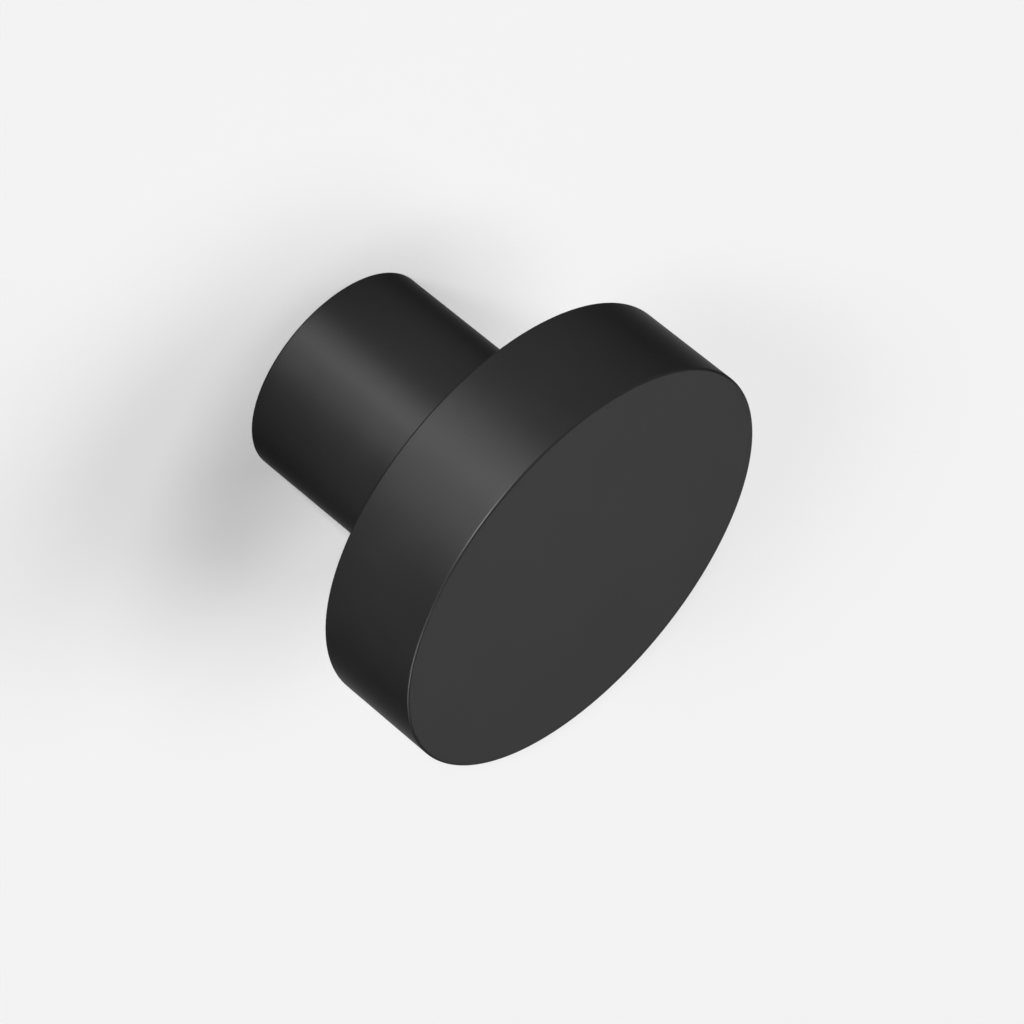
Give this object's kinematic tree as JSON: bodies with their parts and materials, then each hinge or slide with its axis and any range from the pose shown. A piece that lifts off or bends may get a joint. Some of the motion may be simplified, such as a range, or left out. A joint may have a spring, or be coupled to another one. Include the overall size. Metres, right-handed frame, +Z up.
{
  "type": "cabinet knob",
  "caption": "Black round cabinet knob: a flat, thick disc head on a plain cylindrical stem, with a blind tapped hole for the screw in the mounting face.",
  "frame": {"origin": "centre of the round mounting face that sits on the door, where the screw comes through", "axes": "+Z up and +X to the right for someone facing the door, +Y into the door along the knob's axis; the knob stands out from the door towards -Y"},
  "size_m": [0.032, 0.024, 0.032],
  "materials": {
    "black_anodised": "satin"
  },
  "bodies": {
    "root": {"knob": "black_anodised"}
  },
  "joints": []
}
